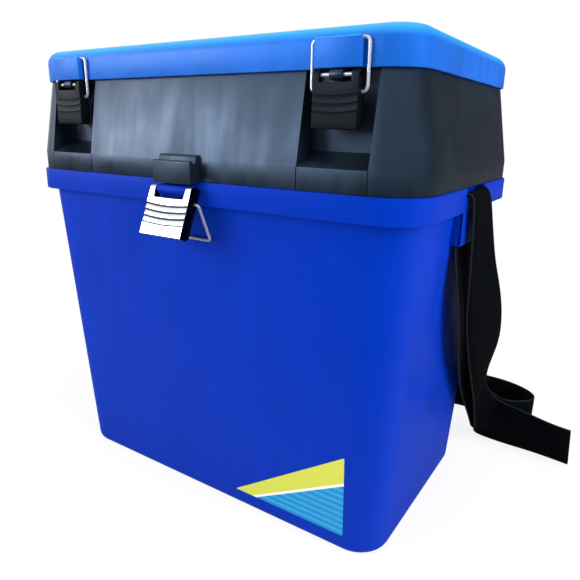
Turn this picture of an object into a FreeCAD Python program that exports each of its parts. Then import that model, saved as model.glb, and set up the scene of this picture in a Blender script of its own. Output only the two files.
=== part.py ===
import FreeCAD, Part
import math
import os
import re

import Sketcher

# Fishing seat box: a moulded bin, a hinged tray section and a hinged lid that is the seat.
# Frame: X to the right, -Y to the front, Z up. The origin is the middle of the bin's base.

os.makedirs("parts", exist_ok=True)
doc = FreeCAD.newDocument("fishing_seat_box")
Vector = FreeCAD.Vector

SIZES = {
    # bin
    "foot_half_w": 173.7, "foot_half_d": 102.6, "foot_radius": 28.0, "foot_round": 6.0,
    "neck_half_w": 187.5, "neck_half_d": 116.9, "neck_radius": 31.0,
    "bin_wall": 3.0, "bin_floor": 3.2,
    "rim_low": 275.6, "rim_high": 293.8, "rim_reach": 7.4, "rim_skin": 2.5,
    # strap bracket under the rim on each side
    "bracket_low": 250.0, "bracket_half": 27.1, "slot_half": 24.7, "bracket_plate": 3.1,
    "slot_width": 3.8, "window_low": 287.0, "bracket_round": 3.0,
    # tray section
    "band_high": 309.5, "band_half_w": 193.6, "band_half_d": 123.0, "band_radius": 35.0,
    "panel_high": 371.0, "panel_half_w": 182.6, "panel_half_d": 112.0, "panel_radius": 24.0,
    "tray_wall": 3.0, "tray_floor": 3.2, "collar_high": 376.0, "collar_step": 1.0,
    "spigot_drop": 5.0, "spigot_gap": 0.6, "spigot_skin": 2.0,
    "divider_high": 350.0, "divider_skin": 2.0, "divider_y": 20.0, "cross_divider_x": 30.0,
    # recess behind each front latch
    "latch_x": 132.6, "recess_half": 26.6, "recess_back": 101.6, "shelf_high": 319.6,
    # lid
    "lid_high": 397.0, "lid_half_w": 185.0, "lid_half_d": 114.4, "lid_radius": 26.5,
    "lid_round": 11.5, "lid_skirt": 3.0, "lid_top": 3.2, "lid_gap": 0.4, "lid_rib": 6.0,
    "lid_rib_skin": 2.0, "lid_lip_gap": 0.8, "lid_lip_skin": 1.6, "lid_lip_drop": 1.8,
    # hinges
    "hinge_x": 115.0, "knuckle_side": 14.0, "knuckle_mid": 26.0, "knuckle_gap": 0.4,
    "tray_hinge_y": 130.0, "tray_barrel": 5.5, "lid_hinge_y": 120.0, "lid_barrel": 4.8,
    "hinge_pin": 2.0, "pin_gap": 0.05,
    # front latches, measured from the lever's pin
    "pivot_y": 118.5, "pivot_z": 367.0, "lever_half": 16.3, "lever_front": 3.5,
    "lever_drop": 33.0, "lever_skin": 2.2, "cheek_skin": 2.4, "notch_half": 11.5,
    "notch_drop": 4.5, "lug_half": 4.75, "lug_barrel": 3.3, "latch_pin": 1.3,
    "bail_in": 2.5, "bail_drop": 10.0, "wire": 1.15, "wire_gap": 0.06, "bail_half": 20.0,
    "bail_rise": 31.0, "bail_bend": 2.2, "catch_front": 120.9, "catch_high": 389.2,
    "catch_lip": 2.5, "groove_floor": 386.4, "groove_wide": 4.2,
    # centre latch, measured from its lever's pin
    "centre_y": 131.1, "centre_z": 287.1, "centre_half": 21.25, "centre_front": 4.0,
    "centre_back": 6.0, "centre_drop": 38.0, "centre_skin": 1.8, "centre_notch_half": 15.7,
    "centre_notch_drop": 8.0, "centre_lug_half": 15.3, "centre_barrel": 3.6,
    "centre_tilt": 22.2, "centre_bail_in": 4.2, "centre_bail_drop": 9.1,
    "centre_bail_half": 24.5, "centre_bail_rise": 32.0, "centre_bail_lean": 24.0,
    # keeper block for the centre latch
    "keeper_half": 19.3, "keeper_front": 133.5, "keeper_low": 292.0, "keeper_ridge": 313.6,
    # strap
    "strap_width": 48.0, "strap_thick": 1.6,
}

sheet = doc.addObject("Spreadsheet::Sheet", "Sizes")
for row, (alias, value) in enumerate(SIZES.items(), start=1):
    sheet.set(f"A{row}", alias.replace("_", " "))
    sheet.set(f"B{row}", str(value))
    sheet.setAlias(f"B{row}", alias)
doc.recompute()


def tied(formula):
    """A formula in the sheet's names, as an expression."""
    return re.sub(r"[a-z][a-z_]*", lambda m: f"Sizes.{m[0]}" if m[0] in SIZES else m[0], formula)


def new_body(label):
    body = doc.addObject("PartDesign::Body", label)
    body.Label = label
    return body


def place(thing, x, y, z, rotation=None):
    """Puts an object where three formulas say."""
    if rotation:
        thing.Placement = FreeCAD.Placement(Vector(0, 0, 0), rotation)
    for axis, formula in (("x", x), ("y", y), ("z", z)):
        thing.setExpression(f"Placement.Base.{axis}", tied(formula))


def new_sketch(body, name, plane, offset):
    """A sketch parallel to one of the body's origin planes."""
    sketch = body.newObject("Sketcher::SketchObject", name)
    support = [f for f in body.Origin.OriginFeatures if f.Role == plane][0]
    sketch.AttachmentSupport = [(support, "")]
    sketch.MapMode = "FlatFace"
    sketch.setExpression("AttachmentOffset.Base.z", tied(offset))
    return sketch


def tie_point(sketch, line, end, x, y):
    for axis, formula in (("X", x), ("Y", y)):
        number = sketch.addConstraint(Sketcher.Constraint(f"Distance{axis}", -1, 1, line, end, 1.0))
        sketch.setExpression(f"Constraints[{number}]", tied(formula))


def add_outline(sketch, corners):
    """A closed outline of straight runs, each corner a pair of formulas."""
    count = len(corners)
    seeds = [
        Vector(math.cos(2 * math.pi * i / count), math.sin(2 * math.pi * i / count), 0) * 20
        for i in range(count)
    ]
    for i in range(count):
        sketch.addGeometry(Part.LineSegment(seeds[i], seeds[(i + 1) % count]))
    for i, (x, y) in enumerate(corners):
        sketch.addConstraint(Sketcher.Constraint("Coincident", i, 2, (i + 1) % count, 1))
        tie_point(sketch, i, 1, x, y)


def add_rounded(sketch, half_x, half_y, radius):
    """A rounded rectangle about the sketch's origin, from three formulas."""
    first = sketch.GeometryCount
    a, b, r = 40.0, 30.0, 8.0
    runs = [((-a + r, -b), (a - r, -b)), ((a, -b + r), (a, b - r))]
    runs += [((a - r, b), (-a + r, b)), ((-a, b - r), (-a, -b + r))]
    for start, stop in runs:
        sketch.addGeometry(Part.LineSegment(Vector(*start, 0), Vector(*stop, 0)))
    quarter = math.pi / 2
    for i, (x, y) in enumerate([(a - r, -b + r), (a - r, b - r), (-a + r, b - r), (-a + r, -b + r)]):
        circle = Part.Circle(Vector(x, y, 0), Vector(0, 0, 1), r)
        sketch.addGeometry(Part.ArcOfCircle(circle, (i - 1) * quarter, i * quarter))
    for i in range(4):
        line, arc, following = first + i, first + 4 + i, first + (i + 1) % 4
        sketch.addConstraint(Sketcher.Constraint("Tangent", line, 2, arc, 1))
        sketch.addConstraint(Sketcher.Constraint("Tangent", arc, 2, following, 1))
        sketch.addConstraint(Sketcher.Constraint("Horizontal" if i % 2 == 0 else "Vertical", line))
        if i:
            sketch.addConstraint(Sketcher.Constraint("Equal", first + 4, arc))
    number = sketch.addConstraint(Sketcher.Constraint("Radius", first + 4, r))
    sketch.setExpression(f"Constraints[{number}]", tied(radius))
    sides = [(0, "Y", f"-({half_y})"), (1, "X", half_x), (2, "Y", half_y), (3, "X", f"-({half_x})")]
    for i, axis, formula in sides:
        kind = f"Distance{axis}"
        number = sketch.addConstraint(Sketcher.Constraint(kind, -1, 1, first + i, 1, 1.0))
        sketch.setExpression(f"Constraints[{number}]", tied(formula))


def add_circle(sketch, x, y, radius):
    circle = sketch.addGeometry(Part.Circle(Vector(5, 5, 0), Vector(0, 0, 1), 1))
    number = sketch.addConstraint(Sketcher.Constraint("Radius", circle, 1.0))
    sketch.setExpression(f"Constraints[{number}]", tied(radius))
    tie_point(sketch, circle, 3, x, y)


def finish_feature(body, feature, cut):
    """Recomputes a new feature and checks that it added or took away material."""
    before = body.Shape.Volume if not body.Shape.isNull() else 0.0
    doc.recompute()
    change = body.Shape.Volume - before
    if abs(change) < 1e-6 or (change > 0) == cut:
        raise RuntimeError(f"{body.Label}.{feature.Name} changed the volume by {change:.3f}")
    return feature


def solid_from(body, name, sketch, length, cut=False):
    """A pad, or a pocket, from the sketch along its normal."""
    feature = body.newObject("PartDesign::Pocket" if cut else "PartDesign::Pad", name)
    feature.Profile = sketch
    feature.setExpression("Length", tied(length))
    if cut:
        feature.Reversed = True
    return finish_feature(body, feature, cut)


def loft_between(body, name, sections, cut=False):
    """A loft through rounded rectangles, each with its height, half sizes and corner radius."""
    kind = "PartDesign::SubtractiveLoft" if cut else "PartDesign::AdditiveLoft"
    sketches = []
    for i, (z, half_x, half_y, radius) in enumerate(sections):
        sketches.append(new_sketch(body, f"{name}_section_{i}", "XY_Plane", z))
        add_rounded(sketches[-1], half_x, half_y, radius)
    doc.recompute()
    feature = body.newObject(kind, name)
    feature.Profile = sketches[0]
    feature.Sections = sketches[1:]
    feature.Ruled = True
    return finish_feature(body, feature, cut)


def slab(body, name, z, length, outer, inner=None, cut=False):
    """A level layer with a rounded outline, or a ring between two of them."""
    sketch = new_sketch(body, f"{name}_outline", "XY_Plane", z)
    add_rounded(sketch, *outer)
    if inner:
        add_rounded(sketch, *inner)
    return solid_from(body, name, sketch, length, cut)


def bar(body, name, corners, x_low, length, cut=False):
    """A side profile in Y and Z, run along X."""
    sketch = new_sketch(body, f"{name}_profile", "YZ_Plane", x_low)
    add_outline(sketch, corners)
    return solid_from(body, name, sketch, length, cut)


def round_bar(body, name, y, z, radius, x_low, length, cut=False):
    sketch = new_sketch(body, f"{name}_profile", "YZ_Plane", x_low)
    add_circle(sketch, y, z, radius)
    return solid_from(body, name, sketch, length, cut)


def block(body, name, low, high, cut=False):
    """A straight block between two corners, each three formulas."""
    corners = [(low[0], low[1]), (high[0], low[1]), (high[0], high[1]), (low[0], high[1])]
    sketch = new_sketch(body, f"{name}_outline", "XY_Plane", low[2])
    add_outline(sketch, corners)
    return solid_from(body, name, sketch, f"{high[2]} - ({low[2]})", cut)


def round_edges(body, name, radius, wanted):
    """Rounds the edges of the body's last feature that the test picks."""
    base = body.Tip
    names = [f"Edge{i}" for i, e in enumerate(base.Shape.Edges, start=1) if wanted(e)]
    feature = body.newObject("PartDesign::Fillet", name)
    feature.Base = (base, names)
    feature.setExpression("Radius", tied(radius))
    doc.recompute()
    return feature


def at_height(value):
    return lambda e: abs(e.BoundBox.ZMin - value) < 1e-4 and abs(e.BoundBox.ZMax - value) < 1e-4


def knuckles(body, name, places, y, z, barrel, web):
    """Hinge knuckles at several places along X: a web from the wall and a barrel with its bore."""
    for i, (x_low, length) in enumerate(places):
        bar(body, f"{name}_web_{i}", web, x_low, length)
        round_bar(body, f"{name}_barrel_{i}", y, z, barrel, x_low, length)
        round_bar(body, f"{name}_bore_{i}", y, z, "hinge_pin + pin_gap", x_low, length, cut=True)


SIDES = {"left": -1, "right": 1}
HINGES = {side: f"{sign} * hinge_x" for side, sign in SIDES.items()}
side_knuckles = []
mid_knuckles = []
for middle in HINGES.values():
    side_knuckles.append((f"{middle} - knuckle_mid / 2 - knuckle_gap - knuckle_side", "knuckle_side"))
    side_knuckles.append((f"{middle} + knuckle_mid / 2 + knuckle_gap", "knuckle_side"))
    mid_knuckles.append((f"{middle} - knuckle_mid / 2", "knuckle_mid"))


def make_bottom_box():
    body = new_body("bottom_box")
    sections = []
    for rise, inset in ((0, 0.62), (0.16, 0.29), (0.42, 0.08), (1, -0.05)):
        cut = f"foot_round * {inset}"
        sections.append((f"foot_round * {rise}", f"foot_half_w - {cut}", f"foot_half_d - {cut}",
                         f"foot_radius - {cut}"))
    sections.append(("rim_low", "neck_half_w", "neck_half_d", "neck_radius"))
    loft_between(body, "shell", sections)
    rim = ("neck_half_w + rim_reach", "neck_half_d + rim_reach", "neck_radius + rim_reach / 3")
    slab(body, "rim", "rim_low", "rim_high - rim_low", rim)
    channel = ("neck_half_w + rim_reach - rim_skin", "neck_half_d + rim_reach - rim_skin",
               "neck_radius + rim_reach / 3 - rim_skin")
    neck = ("neck_half_w", "neck_half_d", "neck_radius")
    slab(body, "rim_channel", "rim_low", "rim_high - rim_skin - rim_low", channel, neck, cut=True)
    face = "neck_half_w + rim_reach"
    for side, sign in SIDES.items():
        inner = f"{sign} * (neck_half_w - bin_wall + 0.5)"
        outer = f"{sign} * ({face})"
        xs = (outer, inner) if sign < 0 else (inner, outer)
        block(body, f"bracket_{side}", (xs[0], "-bracket_half", "bracket_low"),
              (xs[1], "bracket_half", "rim_low"))
        plate_in = f"{sign} * ({face} - bracket_plate)"
        slot_in = f"{sign} * ({face} - bracket_plate - slot_width)"
        xs = (plate_in, slot_in) if sign < 0 else (slot_in, plate_in)
        block(body, f"slot_{side}", (xs[0], "-slot_half", "bracket_low"),
              (xs[1], "slot_half", "rim_low"), cut=True)
        past = f"{sign} * ({face} + 1)"
        xs = (past, slot_in) if sign < 0 else (slot_in, past)
        block(body, f"window_{side}", (xs[0], "-slot_half", "window_low"),
              (xs[1], "slot_half", "rim_high + 1"), cut=True)
    loft_between(body, "hollow", [
        ("bin_floor", "foot_half_w - bin_wall", "foot_half_d - bin_wall", "foot_radius - bin_wall"),
        ("rim_high + 0.01", "neck_half_w - bin_wall", "neck_half_d - bin_wall",
         "neck_radius - bin_wall"),
    ], cut=True)
    rear = "neck_half_d + rim_reach"
    web = [(f"{rear} - 1.5", "rim_high - 14"), (f"{rear}", "rim_high - 14"),
           ("tray_hinge_y + tray_barrel * 0.7", "rim_high - tray_barrel * 0.7"),
           ("tray_hinge_y", "rim_high"), (f"{rear} - 1.5", "rim_high")]
    knuckles(body, "tray_hinge", side_knuckles, "tray_hinge_y", "rim_high", "tray_barrel", web)
    lug = [(f"1.5 - ({rear})", "centre_z - 8.5"), (f"1.5 - ({rear})", "centre_z + centre_barrel"),
           ("-centre_y", "centre_z + centre_barrel"), ("-centre_y", "centre_z - centre_barrel"),
           (f"-({rear})", "centre_z - 8.5")]
    span = ("-centre_lug_half", "2 * centre_lug_half")
    bar(body, "latch_lug", lug, *span)
    round_bar(body, "latch_lug_nose", "-centre_y", "centre_z", "centre_barrel", *span)
    round_bar(body, "latch_lug_bore", "-centre_y", "centre_z", "latch_pin + pin_gap", *span, cut=True)
    return body


def make_tray():
    body = new_body("tray_housing")
    band = ("band_half_w", "band_half_d", "band_radius")
    slab(body, "band", "rim_high", "band_high - rim_high", band)
    loft_between(body, "panels", [
        ("band_high", *band),
        ("panel_high", "panel_half_w", "panel_half_d", "panel_radius"),
    ])
    collar = ("panel_half_w - collar_step", "panel_half_d - collar_step", "panel_radius - collar_step")
    slab(body, "collar", "panel_high", "collar_high - panel_high", collar)
    inner_band = ("band_half_w - tray_wall", "band_half_d - tray_wall", "band_radius - tray_wall")
    slab(body, "lower_hollow", "rim_high + tray_floor", "band_high - rim_high - tray_floor",
         inner_band, cut=True)
    loft_between(body, "upper_hollow", [
        ("band_high", *inner_band),
        ("panel_high", "panel_half_w - tray_wall", "panel_half_d - tray_wall",
         "panel_radius - tray_wall"),
    ], cut=True)
    inner_collar = tuple(f"{size} - tray_wall" for size in collar)
    slab(body, "collar_hollow", "panel_high", "collar_high - panel_high + 0.01", inner_collar, cut=True)
    spigot = ("neck_half_w - bin_wall - spigot_gap", "neck_half_d - bin_wall - spigot_gap",
              "neck_radius - bin_wall - spigot_gap")
    slab(body, "spigot", "rim_high - spigot_drop", "spigot_drop", spigot,
         tuple(f"{size} - spigot_skin" for size in spigot))
    slope = "(band_half_d - panel_half_d) / (panel_high - band_high)"
    wall_x = f"band_half_w - tray_wall / 2 - (divider_high - band_high) * {slope}"
    wall_y = f"band_half_d - tray_wall / 2 - (divider_high - band_high) * {slope}"
    sketch = new_sketch(body, "long_divider_profile", "XZ_Plane", "-divider_y - divider_skin")
    floor = "rim_high + tray_floor / 2"
    foot = "band_half_w - tray_wall / 2"
    add_outline(sketch, [(f"-({foot})", floor), (foot, floor), (foot, "band_high"),
                         (wall_x, "divider_high"), (f"-({wall_x})", "divider_high"),
                         (f"-({foot})", "band_high")])
    solid_from(body, "long_divider", sketch, "divider_skin")
    foot = "band_half_d - tray_wall / 2"
    bar(body, "cross_divider", [("divider_y + divider_skin / 2", floor), (foot, floor),
                                (foot, "band_high"), (wall_y, "divider_high"),
                                ("divider_y + divider_skin / 2", "divider_high")],
        "cross_divider_x", "divider_skin")
    front = "band_half_d - (tray_wall - 0.5)"
    top_front = "panel_half_d - (tray_wall - 0.5)"
    for side, sign in SIDES.items():
        middle = f"{sign} * latch_x"
        housing = [(f"-({front})", "band_high - 4"), ("tray_wall - recess_back", "shelf_high - 3.5"),
                   ("tray_wall - recess_back", "panel_high + 2.5"),
                   (f"-({top_front})", "panel_high + 2.5")]
        bar(body, f"recess_housing_{side}", housing, f"{middle} - recess_half - tray_wall",
            "2 * (recess_half + tray_wall)")
        hollow = [("-band_half_d - 7", "band_high"), ("-band_half_d - 0.2", "band_high"),
                  ("-recess_back", "shelf_high"), ("-recess_back", "panel_high"),
                  ("-band_half_d - 7", "panel_high")]
        bar(body, f"recess_{side}", hollow, f"{middle} - recess_half", "2 * recess_half", cut=True)
        arm = [("1 - recess_back", "pivot_z - 10"), ("1 - recess_back", "pivot_z + lug_barrel"),
               ("-pivot_y", "pivot_z + lug_barrel"), ("-pivot_y", "pivot_z - lug_barrel"),
               ("-recess_back - 8", "pivot_z - lug_barrel"), ("-recess_back", "pivot_z - 10")]
        span = (f"{middle} - lug_half", "2 * lug_half")
        bar(body, f"latch_arm_{side}", arm, *span)
        round_bar(body, f"latch_arm_nose_{side}", "-pivot_y", "pivot_z", "lug_barrel", *span)
        round_bar(body, f"latch_arm_bore_{side}", "-pivot_y", "pivot_z", "latch_pin + pin_gap", *span,
                  cut=True)
        for edge in ("-", "+"):
            seam = f"{middle} {edge} recess_half"
            block(body, f"seam_{side}_{'low' if edge == '-' else 'high'}",
                  (f"{seam} - 0.4", "-band_half_d - 1", "rim_high"),
                  (f"{seam} + 0.4", "-band_half_d + 0.6", "band_high"), cut=True)
    keeper = [("2 - band_half_d", "keeper_low + 2.5"), ("2 - band_half_d", "keeper_ridge"),
              ("-band_half_d - 1.5", "keeper_ridge"), ("-band_half_d - 3.4", "keeper_ridge - 1.4"),
              ("-band_half_d - 3.9", "keeper_ridge - 6.3"), ("-keeper_front + 3.2", "keeper_ridge - 6.3"),
              ("-keeper_front + 3.0", "keeper_ridge - 4.1"), ("-keeper_front + 1", "keeper_ridge - 4.1"),
              ("-keeper_front", "keeper_ridge - 5.3"), ("-keeper_front", "keeper_low"),
              ("-band_half_d - 1.6", "keeper_low"), ("-band_half_d - 1.6", "keeper_low + 2.5")]
    bar(body, "keeper", keeper, "-keeper_half", "2 * keeper_half")
    web = [("band_half_d - 1.5", "rim_high"), ("tray_hinge_y", "rim_high"),
           ("tray_hinge_y + tray_barrel * 0.7", "rim_high + tray_barrel * 0.7"),
           ("band_half_d", "rim_high + 14"), ("band_half_d - 1.5", "rim_high + 14")]
    knuckles(body, "tray_hinge", mid_knuckles, "tray_hinge_y", "rim_high", "tray_barrel", web)
    low = "panel_high - 17"
    wall = f"panel_half_d - tray_wall / 2 + 17 * {slope}"
    web = [(wall, low), (f"{wall} + tray_wall / 2", low),
           ("lid_hinge_y + lid_barrel * 0.8", "panel_high - lid_barrel * 0.6"),
           ("lid_hinge_y", "panel_high"), ("panel_half_d - tray_wall / 2", "panel_high")]
    knuckles(body, "lid_hinge", side_knuckles, "lid_hinge_y", "panel_high", "lid_barrel", web)
    return body


def make_lid():
    body = new_body("lid")
    outline = ("lid_half_w", "lid_half_d", "lid_radius")
    slab(body, "cover", "panel_high", "lid_high - panel_high", outline)
    round_edges(body, "seat_rounding", "lid_round", at_height(SIZES["lid_high"]))
    skirt = ("panel_half_w - collar_step + lid_gap", "panel_half_d - collar_step + lid_gap",
             "panel_radius - collar_step + lid_gap")
    slab(body, "skirt_hollow", "panel_high", "collar_high - panel_high", skirt, cut=True)
    lip = ("panel_half_w - collar_step - tray_wall - lid_lip_gap",
           "panel_half_d - collar_step - tray_wall - lid_lip_gap",
           "panel_radius - collar_step - tray_wall - lid_lip_gap")
    inside = tuple(f"{size} - lid_lip_skin" for size in lip)
    slab(body, "hollow", "collar_high", "lid_high - lid_top - collar_high", inside, cut=True)
    slab(body, "lip", "collar_high - lid_lip_drop", "lid_lip_drop", lip, inside)
    top = "lid_high - lid_top + 0.5"
    rib_low = "lid_high - lid_top - lid_rib"
    reach_x = f"{inside[0]} + 0.5"
    reach_y = f"{inside[1]} + 0.5"
    for i, share in enumerate((-0.6, -0.2, 0.2, 0.6)):
        middle = f"{share} * lid_half_w"
        block(body, f"rib_across_{i}", (f"{middle} - lid_rib_skin / 2", f"-({reach_y})", rib_low),
              (f"{middle} + lid_rib_skin / 2", reach_y, top))
    for i, share in enumerate((-0.35, 0.35)):
        middle = f"{share} * lid_half_d"
        block(body, f"rib_along_{i}", (f"-({reach_x})", f"{middle} - lid_rib_skin / 2", rib_low),
              (reach_x, f"{middle} + lid_rib_skin / 2", top))
    for side, sign in SIDES.items():
        catch = [("1.4 - lid_half_d", "panel_high"), ("1.4 - lid_half_d", "groove_floor"),
                 ("-catch_front + catch_lip", "groove_floor"), ("-catch_front + catch_lip", "catch_high"),
                 ("-catch_front + 0.8", "catch_high"), ("-catch_front", "catch_high - 1.2"),
                 ("-catch_front", "panel_high")]
        bar(body, f"catch_{side}", catch, f"{sign} * latch_x - lever_half", "2 * lever_half")
    web = [("lid_half_d - 1.5", "panel_high"), ("lid_hinge_y", "panel_high"),
           ("lid_hinge_y + lid_barrel * 0.8", "panel_high + lid_barrel * 0.6"),
           ("lid_half_d", "panel_high + 13"), ("lid_half_d - 1.5", "panel_high + 13")]
    knuckles(body, "lid_hinge", mid_knuckles, "lid_hinge_y", "panel_high", "lid_barrel", web)
    return body


def smile(half, z, sag, height):
    """The outline of a shallow bowed band across a lever, in X and Z, in straight runs."""
    shares = (-1, -0.5, 0, 0.5, 1)
    low = [Vector(half * share, z - sag * (1 - share**2), 0) for share in shares]
    high = [point + Vector(0, height, 0) for point in reversed(low)]
    corners = low + high
    return [Part.LineSegment(a, b) for a, b in zip(corners, corners[1:] + corners[:1])]


def make_lever(label, half, front, back, drop, skin, cheek, notch, notch_drop, bail_at, grooves):
    """A latch lever about its pin: a front plate with two cheeks, a notch for the pin's arm,
    curved grip grooves, a hole for the pin and one in each cheek for the bail."""
    body = new_body(label)
    cheeks = [(f"-({front})", "1"), (f"-({front}) + 1.6", "2.9"), (f"{back} - 3.2", "2.9"),
              (f"{back} - 0.6", "1.2"), (back, "-4"), (back, f"-({drop}) * 0.55"),
              (f"{back} - 1.8", f"-({drop}) + 1"), (f"{back} - 2.8", f"-({drop})"),
              (f"-({front})", f"-({drop})")]
    bar(body, "plate_and_cheeks", cheeks, f"-({half})", f"2 * ({half})")
    inside = [(f"{skin} - ({front})", "4"), (f"{skin} - ({front})", f"1.8 - ({drop})"),
              (f"{back} + 1", f"1.8 - ({drop})"), (f"{back} + 1", "4")]
    bar(body, "inside", inside, f"{cheek} - ({half})", f"2 * ({half} - {cheek})", cut=True)
    block(body, "notch", (f"-({notch})", f"-({front}) - 1", f"-({notch_drop})"),
          (notch, f"{skin} - ({front}) + 0.5", "4"), cut=True)
    round_bar(body, "pin_hole", "0", "0", "latch_pin + pin_gap", f"-({half})", f"2 * ({half})", cut=True)
    round_bar(body, "bail_hole", *bail_at, "wire + wire_gap", f"-({half})", f"2 * ({half})", cut=True)
    sketch = new_sketch(body, "grip_lines", "XZ_Plane", front)
    for z in grooves:
        for piece in smile(SIZES[half] + 0.5, z, 1.4, 1.1):
            sketch.addGeometry(piece)
    doc.recompute()
    grips = body.newObject("PartDesign::Pocket", "grip_grooves")
    grips.Profile = sketch
    grips.Length = 0.6
    finish_feature(body, grips, cut=True)
    return body


def stepped_run(points, cut):
    """Straight runs; each sharp corner is turned in two steps."""
    run = [points[0]]
    for before, corner, after in zip(points, points[1:], points[2:]):
        into = (corner - before).normalize()
        out = (after - corner).normalize()
        if into.getAngle(out) < math.radians(60):
            run.append(corner)
            continue
        run += [corner - into * cut, corner + out * cut]
    run.append(points[-1])
    return [Part.LineSegment(a, b) for a, b in zip(run, run[1:])]


def make_bail(label, lever_half, half, rise, cheek, direction):
    """A wire bail about its hole in the lever's cheeks: two cranked legs and a crossbar."""
    body = new_body(label)
    inner = SIZES[lever_half] - SIZES[cheek] + 0.3
    out = SIZES[lever_half] + SIZES["wire"] + 0.9
    outer, top = SIZES[half], SIZES[rise]
    leg = [(inner, 0), (out, 0), (outer, (outer - out) * 1.6), (outer, top)]
    points = [Vector(x, direction * z, 0) for x, z in leg]
    points += [Vector(-x, direction * z, 0) for x, z in reversed(leg)]
    spine = new_sketch(body, "centreline", "XZ_Plane", "0")
    for piece in stepped_run(points, SIZES["bail_bend"]):
        spine.addGeometry(piece)
    profile = new_sketch(body, "wire_section", "YZ_Plane", f"{lever_half} - {cheek} + 0.3")
    add_circle(profile, "0", "0", "wire")
    doc.recompute()
    pipe = body.newObject("PartDesign::AdditivePipe", "wire_form")
    pipe.Profile = profile
    pipe.Spine = spine
    pipe.Transition = "Right corner"
    finish_feature(body, pipe, cut=False)
    return body


def make_pin(label, radius, length, x, y, z):
    """A plain round pin along X, its middle at three formulas."""
    pin = doc.addObject("Part::Cylinder", label)
    pin.Label = label
    pin.setExpression("Radius", tied(radius))
    pin.setExpression("Height", tied(length))
    place(pin, f"{x} - ({length}) / 2", y, z, FreeCAD.Rotation(Vector(0, 1, 0), 90))
    return pin


# The strap's route, one row for each station: the middle of the webbing, then the direction
# across it. It starts at the sewn end on the left, goes over and through the left bracket, down
# and round behind the bin, curls on the ground beside the bin, climbs through the right bracket,
# folds over it and comes down again to the loose end.
STRAP = [
    ((-199.6, 0, 215), (0, 1, 0)), ((-203, 0, 240), (0, 1, 0)), ((-204, 0, 262), (0, 1, 0)),
    ((-203, 0, 280), (0, 1, 0)), ((-199.2, 0, 289), (0, 1, 0)), ((-194.2, 0, 290.6), (0, 1, 0)),
    ((-190.8, 0, 287.6), (0, 1, 0)), ((-189.9, 0, 280), (0, 1, 0)), ((-189.9, 0, 262), (0, 1, 0)),
    ((-189.9, 0, 245), (0, 1, 0)), ((-192, 8, 215), (0, 1, 0.2)), ((-194, 24, 180), (0, 1, 0.45)),
    ((-194, 50, 140), (0, 0.8, 0.7)), ((-193, 82, 100), (0, 0.6, 0.8)),
    ((-191, 115, 62), (0, 0.4, 0.9)), ((-186, 148, 36), (0, 0.2, 1)),
    ((-168, 176, 25.5), (0, 0, 1)), ((-135, 190, 24.6), (0, 0, 1)), ((-85, 196, 24.6), (0, 0, 1)),
    ((-30, 200, 24.6), (0, 0, 1)), ((30, 196, 24.6), (0, 0, 1)), ((85, 198, 24.6), (0, 0, 1)),
    ((135, 204, 24.6), (0, 0, 1)), ((177, 207, 24.6), (0, 0, 1)), ((203, 206, 24.6), (0, 0, 1)),
    ((226, 197, 24.6), (0, 0, 1)), ((239, 184, 24.6), (0, 0, 1)), ((239.5, 172, 24.6), (0, 0, 1)),
    ((230, 161.5, 24.6), (0, 0, 1)), ((219, 154, 24.6), (0, 0, 1)), ((206, 152.6, 25), (0, 0, 1)),
    ((195.4, 153.6, 26.4), (0, 0.05, 1)), ((188.6, 146, 34), (0, 0.3, 0.95)),
    ((186.6, 133, 48), (0, 0.5, 0.87)), ((187.6, 100, 80), (0, 0.6, 0.8)),
    ((189, 62, 115), (0, 0.7, 0.7)), ((192, 32, 150), (-0.05, 0.8, 0.6)),
    ((194.5, 11, 180), (-0.1, 0.95, 0.3)), ((195.5, -1, 205), (-0.1, 1, 0.1)),
    ((192.5, -3, 226), (-0.05, 1, 0)), ((189.9, 0, 246), (0, 1, 0)),
    ((189.9, 0, 262), (0, 1, 0)), ((189.9, 0, 280), (0, 1, 0)), ((190.8, 0, 287.6), (0, 1, 0)),
    ((194.3, 0, 290.6), (0, 1, 0)), ((200, 2.4, 289.5), (0, 1, 0)),
    ((205, 3.8, 282), (0.05, 1, 0)), ((207.5, 5, 266), (0.1, 1, 0)),
    ((209, 7, 246), (0.2, 0.98, 0)), ((210.5, 10, 224), (0.35, 0.93, 0)),
    ((212, 18, 200), (0.45, 0.85, 0.05)), ((211, 33, 174), (0.45, 0.75, 0.3)),
    ((206, 52, 138), (0.3, 0.7, 0.5)), ((200, 76, 104), (0.1, 0.7, 0.7)),
    ((196, 102, 74), (0, 0.6, 0.75)), ((193.6, 122, 52), (0, 0.45, 0.9)),
    ((193.6, 135, 36), (0, 0.3, 0.95)), ((199, 143, 27), (0, 0, 1)),
    ((212, 144, 25), (0, 0, 1)), ((230, 141.5, 24.8), (0, -0.1, 1)),
    ((248, 139, 24.4), (0, -0.22, 0.97)), ((272, 134, 24.1), (0, -0.3, 0.95)),
    ((296, 131, 24.1), (0, -0.3, 0.95)),
]


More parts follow.
